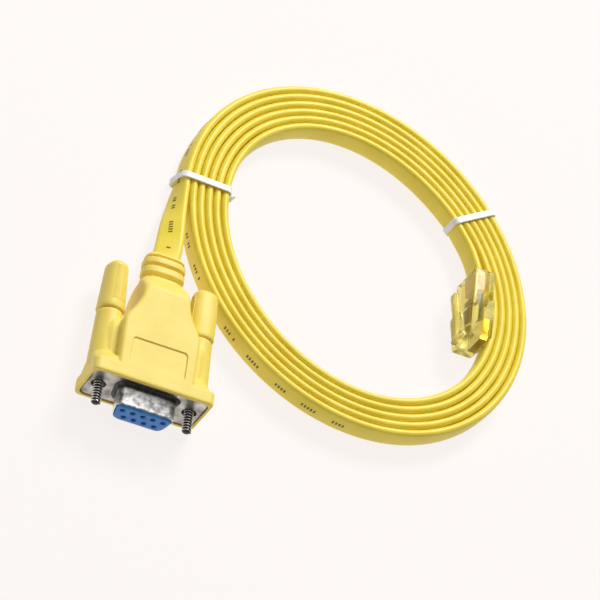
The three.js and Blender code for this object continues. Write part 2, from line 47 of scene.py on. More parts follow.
# Camera, in metres and degrees, and the lamps round it as name, place, size and power
CAMERA_AT = (-0.227573, -0.466384, 0.706943)
CAMERA_AZIMUTH = -28.3769
CAMERA_ELEVATION = 51.2928
CAMERA_ROLL = -41.697
CAMERA_LENS = 203.6
CAMERA_SENSOR = 36
LAMPS = [
    ("key", (0.35, 1.0, 1.0), 0.45, 18.2),
    ("top", (0.0, 0.15, 1.3), 0.8, 4.2),
    ("front", (-0.9, -0.9, 0.7), 0.6, 0.8),
]
LAMPS_AIM = (0.03, 0.03, 0)
ROOM_LIGHT = 0.2
FLOOR_REACH = 6
FLOOR_GLOW = 0.87

# Flat cable and its coil
CABLE_WIDTH = 6.6
CABLE_THICKNESS = 2.1
CABLE_BULGE = 1.12
CABLE_BASE = 0.65
COIL_CENTRE = (54.4, 64)
COIL_LONG_RADIUS = 54.6
COIL_SHORT_RADIUS = 48.3
COIL_LONG_AXIS = 135
COIL_START = 40.5
COIL_TURNS = 5
TAIL_TURN = 136
TURN_PITCH = 2.34
PINCH = 0.2
PINCH_AT = 15
PINCH_NARROWNESS = 6
COIL_STEP = 2.5
SWAY = 0.45
TIE_CALM = 120
FIRST_LEAN_SPREAD = 20
FIRST_LEAN_FADE = 900
LEAD_ROUTE = [
    (0, 42.3, 7.6), (0.45, 45, 7.58), (0.72, 48, 7.35), (0.9, 51, 6.88), (1.1, 54, 6.27), (1.35, 57, 5.56),
    (1.7, 60, 4.9), (2.05, 63, 4.4), (2.38, 66, 4.08), (2.68, 68.6, 3.96), (2.83, 70.85, 3.95),
]
LEAD_TWIST_START = 0.12
LEAD_TWIST_END = 0.87
LEAD_SPREAD = 1.15
TAIL_ROUTE = [
    (83.12, 86.25, 3.95), (84.8, 83.75, 4.1), (86.5, 81.0, 4.4), (87.85, 78.0, 4.85), (88.85, 74.8, 5.35),
    (89.6, 71.6, 5.8), (90.0, 68.6, 5.95), (90.1, 65.8, 5.95),
]
FREE_STEPS = 4
LEAD_STATIONS = FREE_STEPS * (len(LEAD_ROUTE) - 1) + 1

# Print on the cable, with its places in degrees round the coil from the first tie
PRINT_END = 382.5
BARE_ARC = (150, 261)
MARK_SPACING = 0.95
MARK_LENGTH = 0.5
MARK_HEIGHT = 1.05
MARK_DEPTH = 0.05

# Hood
HOOD_HEIGHT = 15.2
RIM_WIDTH = 33
RIM_DEPTH = 3.6
RIM_LIP = 0.3
RIM_CORNER = 1.5
COLLAR_HALF_WIDTH = 16.1
COLLAR = [
    (1, 7.4, 2), (3.6, 7.35, 2.6), (4.6, 7.1, 3.6), (5.6, 6.3, 3.9), (6.6, 5.1, 3.9), (7.6, 4.2, 3.9),
    (8.4, 3.95, 3.9),
]
SHOULDER = [
    (16.6, 10.5), (17.6, 10.3), (18.4, 10.0), (19.2, 9.6), (20.5, 8.8), (22, 7.98), (23.5, 7.28), (25, 6.82),
    (26.5, 6.6), (28, 6.52), (30, 6.5), (32, 6.38), (33, 6.1), (33.8, 5.75),
]
BLOCK_START = 1
BLOCK_STEP = 0.6
BLOCK_END = 33.8
SLOPE_START = 28
SCREW_X = 12.495
BARREL_LENGTH = 21.3
BARREL = [(2, 4), (RIM_DEPTH, 4), (8, 3.9), (14, 3.7), (20.6, 3.52), (21.1, 3.4), (BARREL_LENGTH, 3.15)]
WEB_SIDE = [(-13.6, 0), (-13.2, 3.7), (-12.2, 4.2), (-10.9, 4.5), (-8, 4.6)]
WEB_SIZES = [(2.5, 0.96), (3.4, 1), (15, 1), (16.5, 0.96), (18.5, 0.8)]
RELIEF_START = 31
RELIEF_WIDTH = 11.6
RELIEF_HEIGHT = 7.5
RELIEF_END = 43.4
RELIEF_STEPS = 160
RELIEF_SIDES = 56
RELIEF_DOME = 3.7
RELIEF_DOME_START = 39.9
GROOVES = [(35.2, 1.25, 1.25), (38.35, 0.85, 1.15), (41.1, 0.8, 1.0)]
PANEL_HALF_WIDTH = 7.7
PANEL_HALF_LENGTH = 4.1
PANEL_MIDDLE = 8.1
PANEL_DEPTH = 0.35
HOOD_SEAT = 0.3
HOOD_VOXEL = 0.2

# Socket connector
FLANGE_WIDTH = 30.8
FLANGE_HEIGHT = 12.5
FLANGE_CORNER = 1.6
FLANGE_THICKNESS = 0.6
FLANGE_HOLE = 2.0
SHELL_WIDTH = 16.3
SHELL_HEIGHT = 7.9
SHELL_CORNER = 2.4
SHELL_REACH = 5.9
SHELL_WALL = 0.45
SHELL_SLOPE = math.tan(math.radians(10))
SLEEVE_ROOT = 1.3
INSULATOR_GAP = 0.12
INSULATOR_PROUD = 0.45
INSULATOR_BEHIND = 4
CONTACT_HOLE = 0.62
CONTACT_PITCH = 2.77
ROW_SPACING = 2.84

# Thumbscrews
SCREW_RADIUS = 1.42
SCREW_REACH = 6
SCREW_BORE = 1.75
SCREW_ROOM = 2.5
THREAD_LENGTH = 6.6
THREAD_PITCH = 0.8
THREAD_ROOT = 1.1
THREAD_RIDGE = 0.22
KNOB_START = 21.6
KNOB_LENGTH = 15
KNOB_WIDE = (7.3, 6.6)
KNOB_THICK = (7.0, 5.4)
KNOB_EDGE = 0.5
KNOB_TIP = 1.9
KNOB_SIDES = 64
KNOB_ROUNDNESS = 0.8
RIB_RADIUS = 0.13
RIB_RINGS = (4, 14)
RIBS_EACH_WAY = 5

# Ties, with their places in degrees round the coil
LEFT_TIE = 0.4
RIGHT_TIE = 135.8
TIE_GAP = 0.15
TIE_THICKNESS = 0.45
TIE_HALF_WIDTH = 0.95
TIE_CROWN = 0.25
TIE_SECTION = [
    (0.06, -0.9), (0.06, 0.9), (0.3, 1.0), (0.7, 1.0), (1.0, 0.84), (0.86, 0.5), (0.86, -0.5), (1.0, -0.84),
    (0.7, -1.0), (0.3, -1.0),
]
TWIST_LENGTH = 3.2
TWIST_TURNS = 1.5
STRAND_RADIUS = 0.34
STRAND_OFFSET = 0.36

# Plug, whose thickness lies along x and whose width stands up
PLUG_NOSE = 49.5
PLUG_LENGTH = 21.5
PLUG_WIDTH = 11.7
PLUG_THICKNESS = 6.5
PLUG_X = 90.1
PLUG_Z = 5.95
PLUG_STEP = 12.2
PLUG_CHAMFER = 0.6
PLUG_CONTACT_PITCH = 1.02
PLUG_CONTACT_SLOT = 0.65
PLUG_WIRE_PITCH = 1.0
PLUG_WIRE_RADIUS = 0.42
LATCH_LENGTH = 12.9
LATCH_ROOT = 3.2
LATCH_HALF_WIDTH = 1.7
LATCH_THICKNESS = 1.1
LATCH_LEAN = 10
LATCH_SPACE = 0.3


def spot(x, y, z):
    """A place in metres, from millimetres behind the flange."""
    return Vector((x, y + FLANGE_Y, z)) * MM


def smooth_share(value, low, high):
    """Share of the way from low to high, with a soft start and end."""
    share = min(max((value - low) / (high - low), 0), 1)
    return share * share * (3 - 2 * share)


def between(a, b, share):
    """The value that lies a share of the way from a to b."""
    return a + (b - a) * share


def squared(angle, power):
    """Cosine and sine of an angle, pushed outwards so that a round outline turns squarish."""
    return [math.copysign(abs(part) ** power, part) for part in (math.cos(angle), math.sin(angle))]


# Materials

class Surface:
    """A Principled surface with its nodes and short calls to add more."""

    def __init__(self, name, **settings):
        self.material = bpy.data.materials.new(name)
        self.material.use_nodes = True
        self.nodes = self.material.node_tree.nodes
        self.links = self.material.node_tree.links
        self.shader = self.nodes["Principled BSDF"]
        for socket, value in settings.items():
            self.shader.inputs[socket.replace("_", " ")].default_value = value
        self.place = self.nodes.new("ShaderNodeTexCoord").outputs["Object"]

    def join(self, source, target):
        self.links.new(source, target)

    def noise(self, scale, detail=3, roughness=0.5, stretch=None):
        node = self.nodes.new("ShaderNodeTexNoise")
        node.inputs["Scale"].default_value = scale
        node.inputs["Detail"].default_value = detail
        node.inputs["Roughness"].default_value = roughness
        source = self.place
        if stretch:
            mapping = self.nodes.new("ShaderNodeMapping")
            mapping.inputs["Scale"].default_value = stretch
            self.join(source, mapping.inputs["Vector"])
            source = mapping.outputs["Vector"]
        self.join(source, node.inputs["Vector"])
        return node.outputs["Fac"]

    def ramp(self, factor, stops):
        node = self.nodes.new("ShaderNodeValToRGB")
        elements = node.color_ramp.elements
        while len(elements) < len(stops):
            elements.new(1)
        for element, (position, colour) in zip(elements, stops):
            element.position = position
            element.color = (*colour, 1)
        self.join(factor, node.inputs["Fac"])
        return node.outputs["Color"]

    def spread(self, factor, low, high):
        node = self.nodes.new("ShaderNodeMapRange")
        node.inputs["To Min"].default_value = low
        node.inputs["To Max"].default_value = high
        self.join(factor, node.inputs["Value"])
        return node.outputs["Result"]

    def axis(self, number, low, high):
        """Share of the way from low to high along one axis, in metres of the part's frame."""
        split = self.nodes.new("ShaderNodeSeparateXYZ")
        self.join(self.place, split.inputs["Vector"])
        node = self.nodes.new("ShaderNodeMapRange")
        node.inputs["From Min"].default_value = low
        node.inputs["From Max"].default_value = high
        self.join(split.outputs[number], node.inputs["Value"])
        return node.outputs["Result"]

    def times(self, a, b):
        node = self.nodes.new("ShaderNodeMath")
        node.operation = "MULTIPLY"
        self.join(a, node.inputs[0])
        self.join(b, node.inputs[1])
        return node.outputs[0]

    def bump(self, height, strength, distance):
        node = self.nodes.new("ShaderNodeBump")
        node.inputs["Strength"].default_value = strength
        node.inputs["Distance"].default_value = distance
        self.join(height, node.inputs["Height"])
        previous = self.shader.inputs["Normal"]
        if previous.is_linked:
            self.join(previous.links[0].from_socket, node.inputs["Normal"])
        self.join(node.outputs["Normal"], previous)

    def colour(self, source):
        self.join(source, self.shader.inputs["Base Color"])

    def roughness(self, source):
        self.join(source, self.shader.inputs["Roughness"])


def moulded_vinyl():
    """Matt-satin lemon vinyl with a fine spark-eroded grain and faint cloudy tone."""
    made = Surface("moulded_vinyl", Specular_IOR_Level=0.4)
    made.colour(made.ramp(made.noise(90, 2), [(0.3, (0.86, 0.67, 0.12)), (0.7, (0.91, 0.73, 0.155))]))
    made.roughness(made.spread(made.noise(500, 2), 0.42, 0.56))
    made.bump(made.noise(2600, 3), 0.3, 0.00005)
    made.bump(made.noise(260, 2), 0.18, 0.00012)
    return made.material


def cable_vinyl():
    """Smooth extruded vinyl, a little deeper in tone, with soft waves from the coiling."""
    made = Surface("cable_vinyl", Specular_IOR_Level=0.45)
    made.colour(made.ramp(made.noise(120, 2), [(0.3, (0.84, 0.66, 0.05)), (0.7, (0.91, 0.73, 0.08))]))
    made.roughness(made.spread(made.noise(700, 2), 0.36, 0.5))
    made.bump(made.noise(1400, 3), 0.25, 0.00005)
    made.bump(made.noise(150, 1), 0.25, 0.00025)
    return made.material


def dull_nickel():
    """Plated steel of the flange: dull and cloudy, with drawing marks."""
    made = Surface("dull_nickel", Metallic=1.0)
    made.colour(made.ramp(made.noise(350, 4), [(0.35, (0.24, 0.225, 0.21)), (0.65, (0.6, 0.585, 0.56))]))
    made.roughness(made.spread(made.noise(900, 3), 0.22, 0.42))
    made.bump(made.noise(1500, 3, stretch=(1, 0.25, 1)), 0.3, 0.00008)
    return made.material


def drawn_nickel_painted_light():
    """The sleeve: darkened at its root as painted shade, mottled along the side, and brightened at the lip as
    a painted highlight.
    """
    made = Surface("drawn_nickel_painted_light", Metallic=1.0)
    # Painted highlight towards the lip and painted shade towards the root, set by place along the sleeve
    reach = made.axis(1, (FLANGE_Y - SHELL_REACH) * MM, FLANGE_Y * MM)
    tone = made.ramp(reach, [(0.1, (1, 1, 1)), (0.17, (0.6, 0.6, 0.6)), (0.72, (0.62, 0.62, 0.62)),
                             (0.84, (0.06, 0.06, 0.06))])
    mottle = made.ramp(made.noise(750, 4), [(0.35, (0.35, 0.35, 0.35)), (0.65, (1, 1, 1))])
    made.colour(made.ramp(made.times(tone, mottle), [(0, (0.02, 0.02, 0.02)), (0.95, (0.95, 0.94, 0.92))]))
    made.roughness(made.spread(made.noise(900, 3), 0.25, 0.4))
    made.bump(made.noise(1500, 3), 0.3, 0.00006)
    return made.material


def thread_steel_painted_shade():
    """Steel screw whose thread is bright on its ridge and darkened in its root by painted shade."""
    made = Surface("thread_steel_painted_shade", Metallic=1.0)
    # The stored height over the thread's mean radius drives painted shade: low points in the root are
    # darkened
    depth = made.nodes.new("ShaderNodeAttribute")
    depth.attribute_name = "ridge"
    made.colour(made.ramp(depth.outputs["Fac"], [(0.15, (0.05, 0.048, 0.045)), (0.75, (0.95, 0.94, 0.92))]))
    made.roughness(made.spread(made.noise(1500, 2), 0.16, 0.32))
    made.bump(made.noise(3000, 2), 0.1, 0.00003)
    return made.material


def blue_insulator():
    """Moulded blue plastic with a fine dry grain."""
    made = Surface("blue_insulator", Specular_IOR_Level=0.45)
    made.colour(made.ramp(made.noise(900, 3), [(0.3, (0.025, 0.18, 0.52)), (0.7, (0.055, 0.25, 0.66))]))
    made.roughness(made.spread(made.noise(1200, 2), 0.4, 0.55))
    made.bump(made.noise(3500, 3), 0.3, 0.00005)
    return made.material


def gold_plate():
    """Thin gold on the contacts, a little uneven in tone."""
    made = Surface("gold_plate", Metallic=1.0)
    made.colour(made.ramp(made.noise(900, 2), [(0.3, (0.62, 0.44, 0.15)), (0.7, (0.8, 0.6, 0.25))]))
    made.roughness(made.spread(made.noise(1500, 2), 0.18, 0.3))
    made.bump(made.noise(3000, 2), 0.08, 0.00003)
    return made.material


def clear_plastic():
    """Polycarbonate of the plug, faintly yellow and a little scuffed."""
    made = Surface("clear_plastic", IOR=1.22, Transmission_Weight=0.9)
    made.colour(made.ramp(made.noise(200, 2), [(0.3, (0.96, 0.85, 0.2)), (0.7, (0.98, 0.9, 0.34))]))
    made.roughness(made.spread(made.noise(500, 3), 0.05, 0.14))
    made.bump(made.noise(900, 2), 0.1, 0.00005)
    return made.material


def white_tie():
    """White plastic coat of the ties, with a soft sheen."""
    made = Surface("white_tie", Specular_IOR_Level=0.45)
    made.colour(made.ramp(made.noise(400, 2), [(0.3, (0.84, 0.83, 0.82)), (0.7, (0.92, 0.915, 0.9))]))
    made.roughness(made.spread(made.noise(900, 2), 0.35, 0.5))
    made.bump(made.noise(1600, 3), 0.25, 0.00006)
    return made.material


def print_ink():
    """Thin dark ink that lets a little of the yellow through."""
    made = Surface("print_ink", Specular_IOR_Level=0.3)
    made.colour(made.ramp(made.noise(2500, 2), [(0.3, (0.09, 0.065, 0.02)), (0.7, (0.22, 0.165, 0.05))]))
    made.roughness(made.spread(made.noise(900, 2), 0.5, 0.7))
    made.bump(made.noise(4000, 2), 0.1, 0.00002)
    return made.material


def wire_jacket():
    """Insulation of the eight cores: each takes its tone from its own number."""
    made = Surface("wire_jacket", Specular_IOR_Level=0.4)
    tone = made.nodes.new("ShaderNodeAttribute")
    tone.attribute_name = "core"
    made.colour(made.ramp(tone.outputs["Fac"], [
        (0.0, (0.3, 0.3, 0.29)), (0.14, (0.03, 0.03, 0.03)), (0.28, (0.45, 0.03, 0.02)),
        (0.43, (0.03, 0.2, 0.06)), (0.57, (0.6, 0.45, 0.03)), (0.71, (0.55, 0.15, 0.02)),
        (0.86, (0.12, 0.05, 0.02)), (1.0, (0.03, 0.08, 0.35)),
    ]))
    made.roughness(made.spread(made.noise(1500, 2), 0.35, 0.5))
    made.bump(made.noise(2500, 2), 0.1, 0.00003)
    return made.material


VINYL = moulded_vinyl()
CABLE = cable_vinyl()
NICKEL = dull_nickel()
DRAWN = drawn_nickel_painted_light()
STEEL = thread_steel_painted_shade()
BLUE = blue_insulator()
GOLD = gold_plate()
CLEAR = clear_plastic()
TIE = white_tie()
INK = print_ink()
CORE = wire_jacket()


# Meshes

def placed(name, data):
    """A new object in the scene."""
    obj = bpy.data.objects.new(name, data)
    bpy.context.scene.collection.objects.link(obj)
    return obj


def creased(obj, degrees):
    """Smooth shading but for edges sharper than the angle."""
    obj.data.shade_smooth()
    obj.data.set_sharp_from_angle(angle=math.radians(degrees))
    return obj


def shape(name, points, faces, material, sharp=40):
    """A mesh in the part's frame from points in millimetres, smooth but for sharp edges."""
    mesh = bpy.data.meshes.new(name)
    mesh.from_pydata([spot(*point) for point in points], [], faces)
    mesh.materials.append(material)
    return creased(placed(name, mesh), sharp)


def skin(rings, closed=True):
    """Points and faces of a skin over rings, with flat ends."""
    count = len(rings[0])
    points = [tuple(point) for ring in rings for point in ring]
    faces = []
    for ring in range(len(rings) - 1):
        for i in range(count):
            a, b = ring * count + i, ring * count + (i + 1) % count
            faces.append((a, b, b + count, a + count))
    if closed:
        last = (len(rings) - 1) * count
        faces.append(tuple(reversed(range(count))))
        faces.append(tuple(range(last, last + count)))
    return points, faces


def facing_out(obj):
    """Doubles merged and every face turned outwards."""
    made = bmesh.new()
    made.from_mesh(obj.data)
    bmesh.ops.remove_doubles(made, verts=made.verts, dist=1e-7)
    bmesh.ops.recalc_face_normals(made, faces=made.faces)
    made.to_mesh(obj.data)
    made.free()
    return obj


def rounded_rectangle(half_x, half_z, radius, steps=6, x=0, z=MID_HEIGHT):
    """A ring across the connector's length, as (x, z) pairs."""
    ring = []
    for corner, (sx, sz) in enumerate([(1, -1), (1, 1), (-1, 1), (-1, -1)]):
        for step in range(steps + 1):
            angle = math.radians(-90 + 90 * corner + 90 * step / steps)
            ring.append((x + sx * (half_x - radius) + radius * math.cos(angle),
                         z + sz * (half_z - radius) + radius * math.sin(angle)))
    return ring


def across(ring, y):
    """A flat ring set square to the connector's length."""
    return [(x, y, z) for x, z in ring]


def tube(radii, x, z, sides=40):
    """Rings of a turned piece along Y from (y, radius) pairs."""
    rings = []
    for y, radius in radii:
        rings.append([(x + radius * math.cos(2 * math.pi * i / sides), y,
                       z + radius * math.sin(2 * math.pi * i / sides)) for i in range(sides)])
    return rings


def baked(obj):
    """The object with its modifiers applied, under the same name."""
    depsgraph = bpy.context.evaluated_depsgraph_get()
    mesh = bpy.data.meshes.new_from_object(obj.evaluated_get(depsgraph), depsgraph=depsgraph)
    obj.modifiers.clear()
    obj.data = mesh
    return obj


def carve(obj, tool, operation="DIFFERENCE"):
    """Take the tool's shape out of an object, or add it, and clear the tool away."""
    modifier = obj.modifiers.new("carve", "BOOLEAN")
    modifier.operation = operation
    modifier.solver = "MANIFOLD"
    modifier.object = facing_out(tool)
    baked(obj)
    bpy.data.objects.remove(tool)


def finished(obj, body, slot, *nodes):
    """A piece that is ready: its body and the solids whose place it takes. Its material slot is not used."""
    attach(obj, body)
    if nodes:
        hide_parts(*nodes)
    return obj


# Geometry node trees

class Tree:
    """A geometry node tree with named inputs for its sizes."""

    def __init__(self, name, **sizes):
        self.tree = bpy.data.node_groups.new(name, "GeometryNodeTree")
        make = self.tree.interface.new_socket
        make(name="Geometry", in_out="INPUT", socket_type="NodeSocketGeometry")
        self.sizes = {}
        for label, value in sizes.items():
            kind = "NodeSocketInt" if isinstance(value, int) else "NodeSocketFloat"
            kind = "NodeSocketVector" if isinstance(value, tuple) else kind
            socket = make(name=label.replace("_", " ").capitalize(), in_out="INPUT", socket_type=kind)
            self.sizes[socket.identifier] = value
        make(name="Geometry", in_out="OUTPUT", socket_type="NodeSocketGeometry")
        self.entry = self.tree.nodes.new("NodeGroupInput")
        self.exit = self.tree.nodes.new("NodeGroupOutput")

    def input(self, label):
        return self.entry.outputs[label.replace("_", " ").capitalize()]

    def feed(self, socket, value):
        """Link a socket to another one, or set its own value."""
        if isinstance(value, bpy.types.NodeSocket):
            self.tree.links.new(value, socket)
        else:
            socket.default_value = value

    def node(self, kind, settings=None, **inputs):
        made = self.tree.nodes.new(kind)
        for attribute, value in (settings or {}).items():
            setattr(made, attribute, value)
        for label, value in inputs.items():
            name = label.replace("_", " ")
            self.feed(next(socket for socket in made.inputs if socket.name == name and socket.enabled), value)
        return made

    def reckon(self, operation, a, b=0.0):
        made = self.tree.nodes.new("ShaderNodeMath")
        made.operation = operation
        for socket, value in zip(made.inputs, (a, b)):
            self.feed(socket, value)
        return made.outputs[0]

    def rod(self, curve, radius, sides):
        """A round rod along a curve, closed at both ends."""
        section = self.node("GeometryNodeCurvePrimitiveCircle", Resolution=sides, Radius=radius)
        swept = self.node("GeometryNodeCurveToMesh", Curve=curve, Profile_Curve=section.outputs["Curve"],
                          Fill_Caps=True)
        return swept.outputs["Mesh"]

    def helix(self, turns, radius, length, steps):
        """A line that winds up along Z."""
        spiral = self.node("GeometryNodeCurveSpiral", Resolution=steps, Rotations=turns, Start_Radius=radius,
                           End_Radius=radius, Height=length)
        return spiral.outputs["Curve"]

    def joined(self, *geometries):
        whole = self.node("GeometryNodeJoinGeometry")
        for geometry in geometries:
            self.tree.links.new(geometry, whole.inputs["Geometry"])
        return whole.outputs["Geometry"]

    def end(self, geometry, material):
        """Real meshes in one material as the tree's result."""
        real = self.node("GeometryNodeRealizeInstances", Geometry=geometry)
        painted = self.node("GeometryNodeSetMaterial", Geometry=real.outputs["Geometry"], Material=material)
        self.tree.links.new(painted.outputs["Geometry"], self.exit.inputs["Geometry"])

    def run(self, obj):
        """Grow the tree on an object and keep the result as its plain mesh."""
        modifier = obj.modifiers.new(self.tree.name, "NODES")
        modifier.node_group = self.tree
        for identifier, value in self.sizes.items():
            modifier[identifier] = value
        return baked(obj)


def seed_mesh(name):
    """An empty object for a tree to fill."""
    return placed(name, bpy.data.meshes.new(name))


# Flat cable

def coil_place(degrees):
    """Middle of the cable, outward direction and pitch, so far round from the first tie."""
    turn = math.radians(degrees)
    t = math.radians(COIL_START) - turn
    outward = Vector((COIL_SHORT_RADIUS * math.cos(t), COIL_LONG_RADIUS * math.sin(t))).normalized()
    point = Vector((COIL_LONG_RADIUS * math.cos(t), COIL_SHORT_RADIUS * math.sin(t)))
    axis = math.radians(COIL_LONG_AXIS)
    facing = math.atan2(point.y, point.x) + axis
    pitch = TURN_PITCH - PINCH * max(0, math.cos(facing - math.radians(PINCH_AT))) ** PINCH_NARROWNESS
    point = point - outward * (pitch * turn / (2 * math.pi))
    swing = Matrix.Rotation(axis, 2)
    point = swing @ point + Vector(COIL_CENTRE)
    return point, swing @ outward, pitch


def smooth_line(points, steps):
    """A smooth line through points, with the end tangents carried straight on."""
    known = [Vector(point) for point in points]
    known = [2 * known[0] - known[1], *known, 2 * known[-1] - known[-2]]
    line = []
    for i in range(1, len(known) - 2):
        a, b, c, d = known[i - 1:i + 3]
        for step in range(steps):
            s = step / steps
            line.append(0.5 * (2 * b + (c - a) * s + (2 * a - 5 * b + 4 * c - d) * s ** 2
                               + (3 * b - a - 3 * c + d) * s ** 3))
    line.append(known[-2])
    return line


def free_stations(route, twist):
    """Stations of a free stretch: middle, direction of its thickness, direction of its width."""
    line = smooth_line(route, FREE_STEPS)
    reach = [0]
    for a, b in zip(line, line[1:]):
        reach.append(reach[-1] + (b - a).length)
    stations = []
    for i, middle in enumerate(line):
        along = (line[min(i + 1, len(line) - 1)] - line[max(i - 1, 0)]).normalized()
        level = along.cross(Vector((0, 0, 1))).normalized()
        width = Matrix.Rotation(-math.pi / 2 * twist(reach[i] / reach[-1]), 3, along) @ level
        stations.append((middle, along.cross(width), width))
    return stations


def lean(degrees):
    """How far a turn leans, in degrees, a little different all round the coil."""
    turn = math.radians(degrees)
    calm = 1
    for at in (LEFT_TIE, RIGHT_TIE):
        away = (degrees - at + 180) % 360 - 180
        calm -= math.exp(-away ** 2 / TIE_CALM)
    start = (degrees + 180) % 360 - 180
    first = 90 * (1 - LEAD_TWIST_END) * math.exp(-(start / FIRST_LEAN_SPREAD) ** 2)
    first *= math.exp(-(degrees - start) / FIRST_LEAN_FADE)
    return first + SWAY * calm * (math.sin(1.37 * turn + 0.6) + 0.6 * math.sin(2.9 * turn))


def cable_stations():
    """Stations of the whole cable: lead, coil and tail."""
    stations = free_stations(LEAD_ROUTE, lambda share: between(LEAD_TWIST_START, LEAD_TWIST_END, share))
    last = 360 * COIL_TURNS + TAIL_TURN
    steps = round(last / COIL_STEP)
    for i in range(1, steps):
        degrees = last * i / steps
        point, outward, _ = coil_place(degrees)
        inward = Vector((-outward.x, -outward.y, 0))
        tilt = math.radians(lean(degrees))
        width = Vector((0, 0, 1)) * math.cos(tilt) + inward * math.sin(tilt)
        thick = inward * math.cos(tilt) - Vector((0, 0, 1)) * math.sin(tilt)
        stations.append((Vector((*point, CABLE_BASE + CABLE_WIDTH / 2)), thick, width))
    return stations + free_stations(TAIL_ROUTE, lambda share: 1)


def cable_section(steps=7):
    """Flat faces with fully rounded edges: thickness first, width second."""
    radius = CABLE_THICKNESS / 2
    straight = CABLE_WIDTH / 2 - radius
    ring = []
    for side in (1, -1):
        for step in range(steps + 1):
            angle = math.pi * step / steps
            ring.append((side * radius * math.cos(angle), side * (straight + radius * math.sin(angle))))
        ring.append((-side * radius * CABLE_BULGE, 0))
    return ring


def flat_cable(stations):
    """The cable's skin, a little broader along its lead."""
    section = cable_section()
    rings = []
    for number, (middle, thick, width) in enumerate(stations):
        spread = between(LEAD_SPREAD, 1, min(1, number / LEAD_STATIONS))
        rings.append([middle + thick * x + width * y * spread for x, y in section])
    return facing_out(shape("flat_cable", *skin(rings), CABLE))


# Printed marks

def station_at(degrees):
    """Number of the cable's station so far round the coil."""
    return LEAD_STATIONS + round(degrees / COIL_STEP)


def print_marks(stations):
    """Plain dashes along the cable's outer face, in groups."""
    outer = [middle - thick * (CABLE_THICKNESS / 2 * CABLE_BULGE) for middle, thick, _ in stations]
    guide = bpy.data.meshes.new("print_line")
    bare_from, bare_to = (station_at(degrees) for degrees in BARE_ARC)
    lines = [(i, i + 1) for i in range(len(outer) - 1) if not bare_from <= i < bare_to]
    guide.from_pydata([spot(*point) for point in outer], lines, [])
    facing = guide.attributes.new("facing", "FLOAT_VECTOR", "POINT")
    for item, (_, thick, _) in zip(facing.data, stations):
        item.vector = -thick

    tree = Tree("print_marks", spacing=MARK_SPACING * MM, mark_length=MARK_LENGTH * MM,
                mark_height=MARK_HEIGHT * MM, mark_depth=MARK_DEPTH * MM, group=10, printed=5,
                missing=0.12, seed=7)
    curve = tree.node("GeometryNodeMeshToCurve", Mesh=tree.entry.outputs["Geometry"])
    points = tree.node("GeometryNodeCurveToPoints", {"mode": "LENGTH"}, Curve=curve.outputs["Curve"],
                       Length=tree.input("spacing"))
    number = tree.node("GeometryNodeInputIndex").outputs["Index"]
    in_group = tree.reckon("LESS_THAN", tree.reckon("MODULO", number, tree.input("group")),
                           tree.input("printed"))
    chance = tree.node("FunctionNodeRandomValue", {"data_type": "FLOAT"}, ID=number, Seed=tree.input("seed"))
    kept = tree.reckon("MULTIPLY", in_group,
                       tree.reckon("GREATER_THAN", chance.outputs[1], tree.input("missing")))
    size = tree.node("ShaderNodeCombineXYZ", X=tree.input("mark_depth"), Y=tree.input("mark_height"),
                     Z=tree.input("mark_length"))
    mark = tree.node("GeometryNodeMeshCube", Size=size.outputs["Vector"])
    outward = tree.node("GeometryNodeInputNamedAttribute", {"data_type": "FLOAT_VECTOR"}, Name="facing")
    turned = tree.node("FunctionNodeAlignRotationToVector", {"axis": "Z"}, Vector=points.outputs["Tangent"])
    turned = tree.node("FunctionNodeAlignRotationToVector", {"axis": "X", "pivot_axis": "Z"},
                       Rotation=turned.outputs["Rotation"], Vector=outward.outputs["Attribute"])
    set_out = tree.node("GeometryNodeInstanceOnPoints", Points=points.outputs["Points"], Selection=kept,
                        Instance=mark.outputs["Mesh"], Rotation=turned.outputs["Rotation"])
    tree.end(set_out.outputs["Instances"], INK)
    return tree.run(placed("print_marks", guide))


# Hood

def block_half_width(y):
    """Straight sides, then a curved shoulder down to the neck."""
    for (y0, w0), (y1, w1) in zip(SHOULDER, SHOULDER[1:]):
        if y <= y1:
            return between(w0, w1, min(1, max(0, (y - y0) / (y1 - y0))))
    return SHOULDER[-1][1]


def block_half_height(y):
    """Full height, then a slope down to the strain relief."""
    share = max(0, (y - SLOPE_START) / (BLOCK_END - SLOPE_START))
    return between(HOOD_HEIGHT / 2, RELIEF_HEIGHT / 2, share ** 1.8)


def hood_solids():
    """Overlapping shells of the moulding, each as the rings that hood() skins into a closed shell."""
    half = HOOD_HEIGHT / 2
    rim = [across(rounded_rectangle(RIM_WIDTH / 2 - inset, half - inset, RIM_CORNER), y)
           for y, inset in ((-RIM_LIP, 0.25), (-RIM_LIP + 0.2, 0.05), (0.4, 0), (RIM_DEPTH - 0.4, 0),
                            (RIM_DEPTH - 0.1, 0.12), (RIM_DEPTH, 0.4))]
    collar = [across(rounded_rectangle(COLLAR_HALF_WIDTH, half_high, corner), y)
              for y, half_high, corner in COLLAR]
    steps = int((BLOCK_END - BLOCK_START) / BLOCK_STEP)
    places = [BLOCK_START + BLOCK_STEP * i for i in range(steps)] + [BLOCK_END]
    block = [across(rounded_rectangle(block_half_width(y), block_half_height(y),
                                      between(0.9, 3.1, smooth_share(y, 26, 33.6))), y) for y in places]
    barrels = [tube(BARREL, x, MID_HEIGHT) for x in (-SCREW_X, SCREW_X)]
    web = WEB_SIDE + [(x, -z) for x, z in reversed(WEB_SIDE[1:])]
    webs = [[[(sign * (-SCREW_X + (x + SCREW_X) * size), y, MID_HEIGHT + z * size) for x, z in web]
             for y, size in WEB_SIZES] for sign in (1, -1)]
    return [rim, collar, block, *barrels, *webs, strain_relief()]


